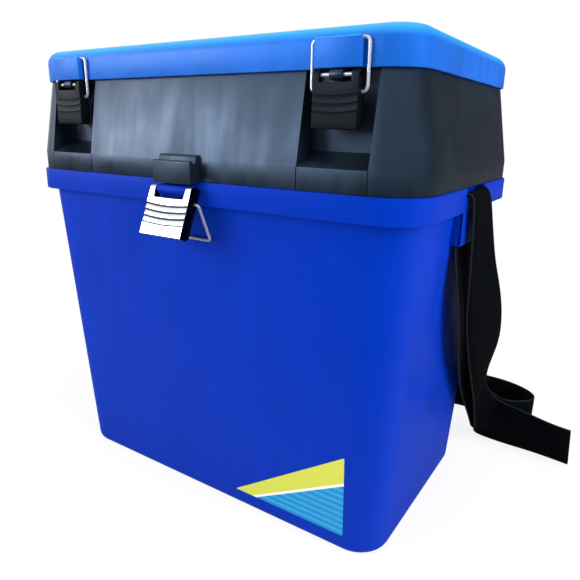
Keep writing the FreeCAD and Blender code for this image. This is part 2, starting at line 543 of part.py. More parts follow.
def make_strap():
    """The webbing: thin cross-sections set square to the route and joined by flat facets."""
    centres = [Vector(*middle) for middle, across in STRAP]
    sections = []
    half, thick = SIZES["strap_width"] / 2, SIZES["strap_thick"] / 2
    for i, (middle, across) in enumerate(STRAP):
        before = centres[max(i - 1, 0)]
        after = centres[min(i + 1, len(STRAP) - 1)]
        along = (after - before).normalize()
        across = Vector(*across)
        across = (across - along * across.dot(along)).normalize()
        face = along.cross(across)
        corners = [(1, 1), (-1, 1), (-1, -1), (1, -1)]
        sections.append([centres[i] + across * half * a + face * thick * b for a, b in corners])
    facets = []
    for near, far in zip(sections, sections[1:]):
        for i in range(4):
            following = (i + 1) % 4
            facets.append([near[i], near[following], far[following]])
            facets.append([near[i], far[following], far[i]])
    facets += [sections[0], sections[-1]]
    faces = [Part.Face(Part.makePolygon(corners + corners[:1])) for corners in facets]
    strap = doc.addObject("Part::Feature", "shoulder_strap")
    solid = Part.makeSolid(Part.makeShell(faces))
    strap.Shape = solid if solid.Volume > 0 else solid.reversed()
    strap.Label = "shoulder_strap"
    length = sum((b - a).Length for a, b in zip(centres, centres[1:]))
    print(f"strap: {length:.0f} mm along its middle")
    return strap


nodes = [make_bottom_box(), make_tray(), make_lid()]
pin_length = "2 * knuckle_side + 2 * knuckle_gap + knuckle_mid"
for side, middle in HINGES.items():
    nodes.append(make_pin(f"tray_hinge_pin_{side}", "hinge_pin", pin_length, middle,
                          "tray_hinge_y", "rim_high"))
    nodes.append(make_pin(f"lid_hinge_pin_{side}", "hinge_pin", pin_length, middle,
                          "lid_hinge_y", "panel_high"))
for side, sign in SIDES.items():
    middle = f"{sign} * latch_x"
    lever = make_lever(f"latch_lever_{side}", "lever_half", "lever_front", "5.6", "lever_drop",
                       "lever_skin", "cheek_skin", "notch_half", "notch_drop",
                       ("bail_in", "-bail_drop"), (-12, -17, -22))
    place(lever, middle, "-pivot_y", "pivot_z")
    bail = make_bail(f"latch_bail_{side}", "lever_half", "bail_half", "bail_rise", "cheek_skin", 1)
    place(bail, middle, "-pivot_y + bail_in", "pivot_z - bail_drop")
    pin = make_pin(f"latch_pin_{side}", "latch_pin", "2 * lever_half", middle, "-pivot_y", "pivot_z")
    nodes += [lever, bail, pin]
lever = make_lever("centre_latch_lever", "centre_half", "centre_front", "centre_back", "centre_drop",
                   "centre_skin", "cheek_skin", "centre_notch_half", "centre_notch_drop",
                   ("centre_bail_in", "-centre_bail_drop"), (-12, -17, -22, -27))
place(lever, "0", "-centre_y", "centre_z", FreeCAD.Rotation(Vector(-1, 0, 0), SIZES["centre_tilt"]))
tilt = math.radians(SIZES["centre_tilt"])
hole_y = f"centre_bail_in * {math.cos(tilt)} - centre_bail_drop * {math.sin(tilt)}"
hole_z = f"-centre_bail_in * {math.sin(tilt)} - centre_bail_drop * {math.cos(tilt)}"
bail = make_bail("centre_latch_bail", "centre_half", "centre_bail_half", "centre_bail_rise",
                 "cheek_skin", -1)
place(bail, "0", f"-centre_y + {hole_y}", f"centre_z + {hole_z}",
      FreeCAD.Rotation(Vector(1, 0, 0), SIZES["centre_bail_lean"]))
pin = make_pin("centre_latch_pin", "latch_pin", "2 * centre_half", "0", "-centre_y", "centre_z")
nodes += [lever, bail, pin, make_strap()]

doc.recompute()
for thing in doc.Objects:
    if "Invalid" in thing.State or "Error" in thing.State:
        raise RuntimeError(f"{thing.Name} failed: {thing.State}")
for node in nodes:
    if node.Shape.isNull() or not node.Shape.isValid():
        raise RuntimeError(f"{node.Label} has no valid shape")
    print(f"{node.Label}: {len(node.Shape.Solids)} solid, {node.Shape.Volume / 1000:.1f} cm3")
    node.Shape.exportStep(f"parts/{node.Label}.step")
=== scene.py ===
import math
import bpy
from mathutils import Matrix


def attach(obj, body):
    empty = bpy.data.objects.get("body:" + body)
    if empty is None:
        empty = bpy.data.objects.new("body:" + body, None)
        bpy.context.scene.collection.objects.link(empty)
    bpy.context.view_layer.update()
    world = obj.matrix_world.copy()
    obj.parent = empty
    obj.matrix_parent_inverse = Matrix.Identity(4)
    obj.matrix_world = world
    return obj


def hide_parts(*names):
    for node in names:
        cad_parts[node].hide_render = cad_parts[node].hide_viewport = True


bl_info = {
    "name": "Fishing Seat Box",
    "version": (1, 0, 0),
    "blender": (4, 5, 0),
    "location": "View3D > Sidebar > Seat Box",
    "description": "Dresses a moulded fishing seat box, its draw latches and its strap",
    "category": "Add Mesh",
}

import bmesh
import bpy
from bpy.props import FloatProperty, FloatVectorProperty, PointerProperty
from mathutils import Matrix, Vector

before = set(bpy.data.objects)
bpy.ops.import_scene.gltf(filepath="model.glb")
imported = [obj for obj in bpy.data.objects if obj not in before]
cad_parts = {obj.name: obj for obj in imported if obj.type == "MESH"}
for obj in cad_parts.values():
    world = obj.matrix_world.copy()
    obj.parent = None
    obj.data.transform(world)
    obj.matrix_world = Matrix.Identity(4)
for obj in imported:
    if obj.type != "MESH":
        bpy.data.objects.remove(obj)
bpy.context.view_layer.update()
MM = 0.001

# The latches' fixed points, in millimetres: each lever's pin, and from it the wire's hole.
LATCH_PIVOT = Vector((0, -118.5, 367.0))
LATCH_HOLE = Vector((0, 2.5, -10.0))
CENTRE_PIVOT = Vector((0, -131.1, 287.1))
CENTRE_HOLE = Vector((0, 4.2, -9.1))
SIDES = {"left": -1, "right": 1}

# The rear hinges, in millimetres: the lower pair joins bin and tray, the upper one tray and lid.
# Each has two outer knuckles on the lower moulding and a long one between them.
HINGE_SPREAD = 115.0
LOWER_HINGE_Y, LOWER_KNUCKLE = 130.0, 5.5
UPPER_HINGE_Y, UPPER_KNUCKLE = 120.0, 4.8
OUTER_KNUCKLES = (-27.4, 13.4)
OUTER_LENGTH, INNER_HALF = 14.0, 13.0
HINGE_BORE = 2.05
PIN_BORE = 1.4

# The mouldings, in millimetres: the bin's corner radii at foot and neck, and the walls.
FOOT_CORNER, NECK_CORNER = 28.0, 31.0
WALL = 3.0
CORNER_STEPS = 14

# The camera fitted to the photograph: focal length and optical centre in pixels, its place in
# units of FIT_UNIT metres, and its yaw, downward pitch and roll in degrees.
PICTURE = 580
FOCAL = 546.8275
OPTICAL_CENTRE = (290.6795, 290.065)
FIT_UNIT = 0.370
CAMERA_PLACE = (0.8311, -1.1902, 0.9047)
CAMERA_TURN = (32.6921, 16.5444, 1.099)


def linear(hex_colour):
    """An sRGB hex value as a linear colour."""
    parts = [int(hex_colour[i : i + 2], 16) / 255 for i in (1, 3, 5)]
    return tuple(c / 12.92 if c <= 0.04045 else ((c + 0.055) / 1.055) ** 2.4 for c in parts)


def length(name, description, millimetres):
    return FloatProperty(name=name, description=description, default=millimetres * MM, min=0.0,
                         unit="LENGTH")


def tint(name, description, hex_colour):
    return FloatVectorProperty(name=name, description=description, default=linear(hex_colour), size=3,
                               min=0.0, max=1.0, subtype="COLOR")


class BoxSizes(bpy.types.PropertyGroup):
    foot_width: length("Foot half width", "Half the bin's width at the ground", 173.7)
    foot_depth: length("Foot half depth", "Half the bin's depth at the ground", 102.6)
    neck_width: length("Neck half width", "Half the bin's width under its rim", 187.5)
    neck_depth: length("Neck half depth", "Half the bin's depth under its rim", 116.9)
    rim_low: length("Rim underside", "Height of the rim's lower edge", 275.6)
    rim_high: length("Rim top", "Height where the tray section rests on the bin", 293.8)
    rim_reach: length("Rim reach", "How far the rim stands out from the wall", 7.4)
    band_high: length("Band top", "Height where the tray's band meets its sloping panels", 309.5)
    panel_high: length("Panel top", "Height where the lid rests on the tray section", 371.0)
    lid_high: length("Seat height", "Height of the seat", 397.0)
    lid_round: length("Seat edge radius", "Rounding along the seat's top edge", 11.5)
    edge_soft: length("Edge softness", "Small radius on the mouldings' edges", 0.9)


class LatchSizes(bpy.types.PropertyGroup):
    spread: length("Latch offset", "Distance of each front latch from the middle", 132.6)
    lever_half: length("Lever half width", "Half the width of a front latch's lever", 16.3)
    lever_drop: length("Lever drop", "How far a front lever reaches below its pin", 33.0)
    bail_half: length("Bail half width", "Half the spread of a front latch's wire legs", 20.0)
    bail_rise: length("Bail length", "From a front lever's wire hole to the crossbar", 31.0)
    centre_half: length("Centre lever half width", "Half the width of the silver lever", 21.25)
    centre_drop: length("Centre lever drop", "How far the silver lever reaches below its pin", 38.0)
    centre_bail_half: length("Centre bail half width", "Half the spread of the loose bail", 24.5)
    centre_bail_rise: length("Centre bail length", "From the silver lever's hole to the bail's bar", 32.0)
    wire: length("Wire radius", "Radius of the steel wire", 1.15)
    lever_tilt: FloatProperty(name="Centre lever tilt", description="How far the silver lever stands off",
                              default=math.radians(22.2), subtype="ANGLE")
    bail_lean: FloatProperty(name="Centre bail lean", description="How far the loose bail hangs inward",
                             default=math.radians(24.0), subtype="ANGLE")


class StrapSizes(bpy.types.PropertyGroup):
    width: length("Webbing width", "Width of the shoulder strap", 48.0)
    thickness: length("Webbing thickness", "Thickness of the shoulder strap", 1.5)
    thread: length("Thread spacing", "Distance from one thread of the weave to the next", 2.4)


class BoxColours(bpy.types.PropertyGroup):
    bin_blue: tint("Bin", "Royal blue of the bin", "#022A98")
    lid_blue: tint("Lid", "Brighter blue of the lid", "#1254AE")
    tray_black: tint("Tray section", "Charcoal of the tray section", "#101821")
    lever_black: tint("Front levers", "Black of the front levers", "#0A0E13")
    silver: tint("Centre lever", "Bright plated silver", "#E2E6EA")
    steel: tint("Wire", "Drawn stainless wire", "#B4B7C4")
    webbing: tint("Webbing", "Black of the strap", "#040609")
    # a painted highlight along the strap's edges, in a paler grey
    edge_highlight: tint("Selvedge", "Paler edge thread of the strap", "#1E2226")


# Shaping


def verts_in(geom):
    return [item for item in geom if isinstance(item, bmesh.types.BMVert)]


def edges_in(geom):
    return [item for item in geom if isinstance(item, bmesh.types.BMEdge)]


def add_rounded_face(bm, half_x, half_y, radius, z):
    """One level face with rounded corners."""
    known = set(bm.faces)
    made = bmesh.ops.create_grid(bm, x_segments=1, y_segments=1, size=1.0)
    bmesh.ops.scale(bm, vec=(half_x, half_y, 1), verts=made["verts"])
    bmesh.ops.translate(bm, vec=(0, 0, z), verts=made["verts"])
    bmesh.ops.bevel(bm, geom=made["verts"], offset=radius, offset_type="OFFSET",
                    segments=CORNER_STEPS, profile=0.5, affect="VERTICES", material=-1)
    return next(f for f in bm.faces if f not in known)


def add_ring_stack(bm, rings):
    """A moulding from level rounded outlines bridged in turn; the first and the last are closed.
    Each ring is half width, half depth, corner radius and height."""
    previous = None
    for i, (half_x, half_y, radius, z) in enumerate(rings):
        face = add_rounded_face(bm, half_x, half_y, radius, z)
        edges = list(face.edges)
        if 0 < i < len(rings) - 1:
            bmesh.ops.delete(bm, geom=[face], context="FACES_ONLY")
        if previous:
            bmesh.ops.bridge_loops(bm, edges=previous + edges)
        previous = edges
    bmesh.ops.recalc_face_normals(bm, faces=bm.faces)


def soften(bm, edges, width, segments=2, sharper_than=28):
    """Bevels those of the edges that turn by more than an angle."""
    limit = math.radians(sharper_than)
    sharp = [e for e in edges if e.is_valid and e.is_manifold and e.calc_face_angle(0) > limit]
    if sharp and width > 0:
        bmesh.ops.bevel(bm, geom=sharp, offset=width, offset_type="OFFSET", segments=segments,
                        profile=0.5, affect="EDGES", clamp_overlap=True, material=-1)


def add_bar(bm, profile, x_low, x_high, soft=0.6):
    """A straight bar along X from its outline in Y and Z."""
    known = set(bm.edges)
    corners = [bm.verts.new((x_low, y, z)) for y, z in profile]
    face = bm.faces.new(corners)
    verts = verts_in(bmesh.ops.extrude_face_region(bm, geom=[face])["geom"])
    bmesh.ops.translate(bm, vec=(x_high - x_low, 0, 0), verts=verts)
    bmesh.ops.recalc_face_normals(bm, faces=list({f for v in verts + corners for f in v.link_faces}))
    soften(bm, [e for e in bm.edges if e not in known], soft)


def add_block(bm, low, high, soft=0.6):
    profile = [(low[1], low[2]), (high[1], low[2]), (high[1], high[2]), (low[1], high[2])]
    add_bar(bm, profile, low[0], high[0], soft)


def add_barrel(bm, y, z, radius, x_low, x_high, hole, soft=0.5):
    """A hinge knuckle along X, with a short blind hole in each end for its rod."""
    known = set(bm.faces)
    middle = Matrix.Translation(((x_low + x_high) / 2, y, z)) @ Matrix.Rotation(math.pi / 2, 4, "Y")
    bmesh.ops.create_cone(bm, cap_ends=True, segments=32, radius1=radius, radius2=radius,
                          depth=x_high - x_low, matrix=middle)
    caps = [f for f in bm.faces if f not in known and len(f.verts) > 4]
    rims = [e for f in caps for e in f.edges]
    bmesh.ops.inset_region(bm, faces=caps, thickness=radius - hole, use_even_offset=True)
    for cap in caps:
        inward = cap.normal * -2.0
        deeper = bmesh.ops.extrude_discrete_faces(bm, faces=[cap])["faces"][0]
        bmesh.ops.translate(bm, vec=inward, verts=deeper.verts)
    soften(bm, rims, soft)


def add_wire(bm, corners, radius, bend=3.0, sides=16):
    """A bent wire: a round section drawn along straight runs and spun through each bend."""
    ahead = (corners[1] - corners[0]).normalized()
    turn = ahead.to_track_quat("Z", "Y").to_matrix().to_4x4()
    made = bmesh.ops.create_circle(bm, cap_ends=True, segments=sides, radius=radius,
                                   matrix=Matrix.Translation(corners[0]) @ turn)
    edges = list({e for v in made["verts"] for e in v.link_edges})
    here = corners[0]
    for i in range(1, len(corners)):
        into = (corners[i] - corners[i - 1]).normalized()
        last = i == len(corners) - 1
        out = into if last else (corners[i + 1] - corners[i]).normalized()
        angle = into.angle(out)
        stop = corners[i] - into * bend * math.tan(angle / 2)
        grown = bmesh.ops.extrude_edge_only(bm, edges=edges)["geom"]
        verts, edges = verts_in(grown), edges_in(grown)
        bmesh.ops.translate(bm, vec=stop - here, verts=verts)
        if last:
            bmesh.ops.contextual_create(bm, geom=edges)
            break
        axis = into.cross(out).normalized()
        centre = stop + axis.cross(into) * bend
        spun = bmesh.ops.spin(bm, geom=verts + edges, cent=centre, axis=axis, angle=angle,
                              steps=max(3, round(math.degrees(angle) / 12)), use_duplicate=False)
        edges = edges_in(spun["geom_last"])
        here = corners[i] + out * bend * math.tan(angle / 2)
    bmesh.ops.recalc_face_normals(bm, faces=bm.faces)


def mesh_from(bm, name):
    for face in bm.faces:
        face.smooth = True
    bmesh.ops.scale(bm, vec=(MM, MM, MM), verts=bm.verts)
    mesh = bpy.data.meshes.new(name)
    bm.to_mesh(mesh)
    bm.free()
    mesh.set_sharp_from_angle(angle=math.radians(35))
    return mesh


def add_piece(name, bm, finish, body, stands_for=()):
    """Puts a finished shape in the scene, dressed, on its CAD body."""
    piece = bpy.data.objects.new(name, mesh_from(bm, name))
    bpy.context.scene.collection.objects.link(piece)
    piece.data.materials.append(finish)
    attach(piece, body)
    if stands_for:
        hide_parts(*stands_for)
    return piece


def carve(bm, added=None, removed=None):
    """Joins and cuts closed shapes with Boolean modifiers and returns the result as a new bmesh."""
    parts = []
    for shape in (bm, added, removed):
        if shape is None:
            parts.append(None)
            continue
        mesh = bpy.data.meshes.new("carving")
        shape.to_mesh(mesh)
        shape.free()
        part = bpy.data.objects.new("carving", mesh)
        bpy.context.scene.collection.objects.link(part)
        parts.append(part)
    base = parts[0]
    for part, kind in ((parts[1], "UNION"), (parts[2], "DIFFERENCE")):
        if part:
            step = base.modifiers.new(kind, "BOOLEAN")
            step.operation = kind
            step.solver = "EXACT"
            step.object = part
    carved = bmesh.new()
    carved.from_object(base, bpy.context.evaluated_depsgraph_get())
    for part in parts:
        if part:
            bpy.data.objects.remove(part)
    bmesh.ops.remove_doubles(carved, verts=carved.verts, dist=0.01)
    return carved


# Finishes


def node(tree, kind, inputs=None, **settings):
    """Adds a shader node and sets its properties and inputs. In inputs, a socket is linked and
    anything else becomes the input's value."""
    made = tree.nodes.new(kind)
    for name, value in settings.items():
        if hasattr(made, name):
            setattr(made, name, value)
        else:
            made.inputs[name.replace("_", " ")].default_value = value
    for name, source in (inputs or {}).items():
        if isinstance(source, bpy.types.NodeSocket):
            tree.links.new(source, made.inputs[name])
        else:
            made.inputs[name].default_value = source
    return made


def finish(name, **settings):
    """A new material with one Principled shader; returns the material, its tree and the shader."""
    made = bpy.data.materials.new(name)
    made.use_nodes = True
    shader = made.node_tree.nodes["Principled BSDF"]
    for key, value in settings.items():
        shader.inputs[key.replace("_", " ")].default_value = value
    return made, made.node_tree, shader


def set_stops(band, stops):
    """Gives a colour band its (position, linear colour) stops."""
    while len(band.elements) < len(stops):
        band.elements.new(0.5)
    for element, (place, colour) in zip(band.elements, stops):
        element.position = place
        element.color = (*colour, 1)


def shade(colour, factor):
    return tuple(min(1.0, c * factor) for c in colour)


def fineness(millimetres):
    """The scale of a pattern whose marks lie about so many millimetres apart."""
    return 1 / (millimetres * MM)


def moulded_polypropylene(name, colour, glow, top_highlight=None, streaks=0.25, rough=(0.36, 0.5), sheen=0.5):
    """Injection-moulded polypropylene or, on the front levers, nylon: a satin skin with a fine
    spark-eroded grain, soft flow streaks that run up the wall, and rubbed patches that are a
    little duller. glow is the tint that the pigment just under the skin gives to what it reflects,
    and the colour for faces turned up, if given, is a painted highlight mixed onto them."""
    made, tree, shader = finish(name, IOR=1.49, Specular_IOR_Level=sheen, Specular_Tint=(*glow, 1))
    place = node(tree, "ShaderNodeTexCoord").outputs["Object"]
    # drawn coarser than the real grain, which would not show
    grain = node(tree, "ShaderNodeTexNoise", {"Vector": place}, Scale=fineness(0.909), Detail=2.0)
    across, along = fineness(18.18), fineness(285.7)
    tall = node(tree, "ShaderNodeMapping", {"Vector": place}, Scale=(across, across, along))
    streak = node(tree, "ShaderNodeTexNoise", {"Vector": tall.outputs["Vector"]}, Scale=1.0, Detail=3.0)
    patch = node(tree, "ShaderNodeTexNoise", {"Vector": place}, Scale=fineness(71.43), Detail=4.0,
                 Roughness=0.6)
    mixed = node(tree, "ShaderNodeMix", {"A": streak.outputs["Fac"], "B": patch.outputs["Fac"]},
                 data_type="FLOAT", Factor=0.5)
    dull, lively = shade(colour, 1 - streaks * 0.5), shade(colour, 1 + streaks)
    skin = node(tree, "ShaderNodeValToRGB", {"Fac": mixed.outputs["Result"]})
    set_stops(skin.color_ramp, [(0.36, dull), (0.5, colour), (0.66, lively)])
    skin = skin.outputs["Color"]
    # painted highlight: faces turned up are mixed towards a lighter colour, the more the more they face up
    if top_highlight:
        facing = node(tree, "ShaderNodeSeparateXYZ",
                      {"Vector": node(tree, "ShaderNodeNewGeometry").outputs["Normal"]})
        up = node(tree, "ShaderNodeMapRange", {"Value": facing.outputs["Z"]}, From_Min=0.25)
        skin = node(tree, "ShaderNodeMix", {"Factor": up.outputs["Result"], 6: skin, 7: (*top_highlight, 1)},
                    data_type="RGBA").outputs[2]
    tree.links.new(skin, shader.inputs["Base Color"])
    gloss = node(tree, "ShaderNodeMapRange", {"Value": mixed.outputs["Result"]},
                 From_Min=0.35, From_Max=0.65, To_Min=rough[0], To_Max=rough[1])
    tree.links.new(gloss.outputs["Result"], shader.inputs["Roughness"])
    relief = node(tree, "ShaderNodeBump", {"Height": grain.outputs["Fac"]}, Strength=0.06, Distance=0.0004)
    tree.links.new(relief.outputs["Normal"], shader.inputs["Normal"])
    return made


def drawn_steel(colour):
    """Drawn and polished stainless wire: bright, with hair-fine marks from the die. It is made
    once, and each wire and pin shares it."""
    known = bpy.data.materials.get("drawn_stainless_steel")
    if known:
        return known
    made, tree, shader = finish("drawn_stainless_steel", Metallic=0.6, Base_Color=(*colour, 1))
    place = node(tree, "ShaderNodeTexCoord").outputs["Object"]
    # drawn coarser than the real marks, which would not show
    marks = node(tree, "ShaderNodeTexNoise", {"Vector": place}, Scale=fineness(1.111), Detail=2.0)
    gloss = node(tree, "ShaderNodeMapRange", {"Value": marks.outputs["Fac"]}, To_Min=0.16, To_Max=0.34)
    tree.links.new(gloss.outputs["Result"], shader.inputs["Roughness"])
    return made


def plated_silver(colour):
    """Bright vacuum-plated ABS: a mirror-like skin, hazed by handling, with painted shade on the faces
    that the lever's own attribute marks as shaded, its cheeks and the bottoms of its steps."""
    made, tree, shader = finish("vacuum_plated_abs", Metallic=1.0)
    place = node(tree, "ShaderNodeTexCoord").outputs["Object"]
    haze = node(tree, "ShaderNodeTexNoise", {"Vector": place}, Scale=fineness(6.25), Detail=5.0,
                Roughness=0.7)
    skin = node(tree, "ShaderNodeValToRGB", {"Fac": haze.outputs["Fac"]})
    set_stops(skin.color_ramp, [(0.3, shade(colour, 0.82)), (0.6, colour)])
    # painted shade: the marked faces are mixed to near black
    dark = node(tree, "ShaderNodeAttribute", attribute_name="shaded").outputs["Fac"]
    painted_shade = node(tree, "ShaderNodeMix", {"Factor": dark, 6: skin.outputs["Color"],
                                          7: (*linear("#1A1C20"), 1)}, data_type="RGBA")
    tree.links.new(painted_shade.outputs[2], shader.inputs["Base Color"])
    gloss = node(tree, "ShaderNodeMapRange", {"Value": haze.outputs["Fac"]}, To_Min=0.18, To_Max=0.42)
    tree.links.new(gloss.outputs["Result"], shader.inputs["Roughness"])
    return made


def woven_webbing(colour, edge, width, thread):
    """Polypropylene webbing in a plain weave, each thread a small rounded bump, with a painted
    highlight along each edge in a paler colour."""
    made, tree, shader = finish("woven_polypropylene_webbing", Roughness=0.8, Specular_IOR_Level=0.06)
    layout = node(tree, "ShaderNodeUVMap", uv_map="webbing")
    split = node(tree, "ShaderNodeSeparateXYZ", {"Vector": layout.outputs["UV"]})
    waves = []
    for way in ("X", "Y"):
        turns = node(tree, "ShaderNodeMath", {0: split.outputs[way], 1: math.pi * width / thread},
                     operation="MULTIPLY")
        waves.append(node(tree, "ShaderNodeMath", {0: turns.outputs[0]}, operation="SINE").outputs[0])
    weave = node(tree, "ShaderNodeMath", {0: waves[0], 1: waves[1]}, operation="MULTIPLY")
    # painted highlight: a paler band along both edges of the webbing
    off = node(tree, "ShaderNodeMath", {0: split.outputs["X"], 1: 0.5}, operation="SUBTRACT")
    off = node(tree, "ShaderNodeMath", {0: off.outputs[0]}, operation="ABSOLUTE")
    rim = node(tree, "ShaderNodeMapRange", {"Value": off.outputs[0]}, From_Min=0.48, From_Max=0.49)
    threads = node(tree, "ShaderNodeMapRange", {"Value": weave.outputs[0]}, From_Min=-1.0)
    # the weave's colour follows its relief: painted shade between the threads and painted highlight on
    # their crowns
    body = node(tree, "ShaderNodeValToRGB", {"Fac": threads.outputs["Result"]})
    set_stops(body.color_ramp, [(0.25, shade(colour, 0.4)), (0.85, shade(colour, 1.7))])
    skin = node(tree, "ShaderNodeMix", {"Factor": rim.outputs["Result"], 6: body.outputs["Color"],
                                        7: (*edge, 1)}, data_type="RGBA")
    tree.links.new(skin.outputs[2], shader.inputs["Base Color"])
    relief = node(tree, "ShaderNodeBump", {"Height": threads.outputs["Result"]}, Strength=0.8,
                  Distance=0.0006)
    tree.links.new(relief.outputs["Normal"], shader.inputs["Normal"])
    return made


def printed_label():
    """A printed vinyl label: a lime band along its sloping edge and a blue field below it with
    plain ripples, under a gloss varnish."""
    made, tree, shader = finish("printed_vinyl", Roughness=0.25, IOR=1.5)
    place = node(tree, "ShaderNodeTexCoord").outputs["Object"]
    split = node(tree, "ShaderNodeSeparateXYZ", {"Vector": place})
    # height in metres of a line along the band, and the distance below it
    slope, foot = 0.563, 0.00937
    rise = node(tree, "ShaderNodeMath", {0: split.outputs["X"], 1: slope, 2: foot},
                operation="MULTIPLY_ADD")
    below = node(tree, "ShaderNodeMath", {0: rise.outputs[0], 1: split.outputs["Z"]},
                 operation="SUBTRACT")
    # a wave texture of scale 1 has its bands a twentieth of a turn, 0.314 m, apart
    ripples = node(tree, "ShaderNodeTexWave", {"Vector": place}, wave_type="BANDS", bands_direction="Z",
                   Scale=math.tau / 20 * fineness(5.712), Distortion=1.6, Detail=1.0,
                   Detail_Scale=30.0)
    water = node(tree, "ShaderNodeValToRGB", {"Fac": ripples.outputs["Fac"]})
    set_stops(water.color_ramp, [(0.4, linear("#1476AE")), (0.66, linear("#2390C2"))])
    share = node(tree, "ShaderNodeMapRange", {"Value": below.outputs[0]}, From_Max=0.1)
    paper = node(tree, "ShaderNodeValToRGB", {"Fac": share.outputs["Result"]})
    set_stops(paper.color_ramp, [(0.238, linear("#BBBF45")), (0.242, linear("#D9DBD2"))])
    inside = node(tree, "ShaderNodeMath", {0: share.outputs["Result"], 1: 0.265},
                  operation="GREATER_THAN")
    skin = node(tree, "ShaderNodeMix", {"Factor": inside.outputs[0], 6: paper.outputs["Color"],
                                        7: water.outputs["Color"]}, data_type="RGBA")
    tree.links.new(skin.outputs[2], shader.inputs["Base Color"])
    return made


# Pieces


def between(low, high, share):
    return tuple(a + (b - a) * share for a, b in zip(low, high))


def inset(outline, amount):
    """A rounded outline, as half width, half depth and corner radius, drawn in by an amount."""
    return tuple(size - amount for size in outline)


class SEATBOX_OT_bin(bpy.types.Operator):
    """Builds the blue bin with its rim, strap brackets, latch lug and hinge knuckles"""

    bl_idname = "seatbox.bin"
    bl_label = "Bin"

    def execute(self, context):
        sizes = context.scene.seat_box
        colours = context.scene.seat_box_colours
        foot = (sizes.foot_width / MM, sizes.foot_depth / MM, FOOT_CORNER)
        neck = (sizes.neck_width / MM, sizes.neck_depth / MM, NECK_CORNER)
        low, high = sizes.rim_low / MM, sizes.rim_high / MM
        reach, floor, lip, foot_turn = sizes.rim_reach / MM, 3.2, 2.5, 6.0

        rings = []
        for step in range(6):
            angle = math.radians(18 * step)
            rise = foot_turn * (1 - math.cos(angle))
            cut = foot_turn * (1 - math.sin(angle))
            rings.append((*inset(between(foot, neck, rise / low), cut), rise))
        outer = (neck[0] + reach, neck[1] + reach, neck[2] + reach / 3)
        rings += [(*neck, low), (*neck, high - lip), (*inset(outer, lip), high - lip),
                  (*inset(outer, lip), low), (*outer, low), (*outer, high),
                  (*inset(neck, WALL), high), (*inset(foot, WALL), floor)]
        shell = bmesh.new()
        add_ring_stack(shell, rings)
        soften(shell, shell.edges, sizes.edge_soft / MM, segments=3, sharper_than=40)
        # the strap goes through a window in the rim on each side
        windows = bmesh.new()
        for sign in SIDES.values():
            x = sorted((sign * 188.0, sign * 197.0))
            add_block(windows, (x[0], -24.7, 287.0), (x[1], 24.7, 296.0), soft=0)
        bm = carve(shell, removed=windows)
        # the strap brackets: those faces that meet the rim's on the side in view lie a hair inside
        half, foot_z, post_width, hair = 27.1, 250.0, 2.4, 0.01
        for sign in SIDES.values():
            face = sign * outer[0]
            plate = sorted((face - sign * 3.1, face))
            post = sorted((sign * 186.0, face))
            add_block(bm, (plate[0], -half, foot_z), (plate[1], half, low + 2), soft=1.0)
            inward = 2 * hair if sign > 0 else 0
            add_block(bm, (plate[0], -26.0, low + 1), (plate[1] - inward, 26.0, 287.0), soft=0.4)
            for y in (-half, half - post_width):
                add_block(bm, (post[0], y, foot_z), (post[1] - hair, y + post_width, high - 1.0),
                          soft=0.8)
        rear = outer[1]
        for sign in SIDES.values():
            for start in OUTER_KNUCKLES:
                x = sign * HINGE_SPREAD + start
                add_bar(bm, [(rear - 1.5, high - 14), (rear, high - 14), (133.85, high - 3.85),
                             (LOWER_HINGE_Y, high), (rear - 1.5, high)], x, x + OUTER_LENGTH)
                add_barrel(bm, LOWER_HINGE_Y, high, LOWER_KNUCKLE, x, x + OUTER_LENGTH, HINGE_BORE)
        y, z = CENTRE_PIVOT.y, CENTRE_PIVOT.z
        lug, lug_half = 3.6, 15.3
        add_bar(bm, [(1.5 - rear, z - 8.5), (1.5 - rear, z + lug), (y, z + lug), (y, z - lug),
                     (-rear, z - 8.5)], -lug_half, lug_half, soft=0.4)
        add_barrel(bm, y, z, lug, -lug_half, lug_half, PIN_BORE)
        blue = moulded_polypropylene("moulded_polypropylene_royal_blue", tuple(colours.bin_blue),
                                     linear("#2A6CFF"), streaks=0.1, sheen=0.12)
        add_piece("bin_moulding", bm, blue, "bin", ["bottom_box"])
        return {"FINISHED"}


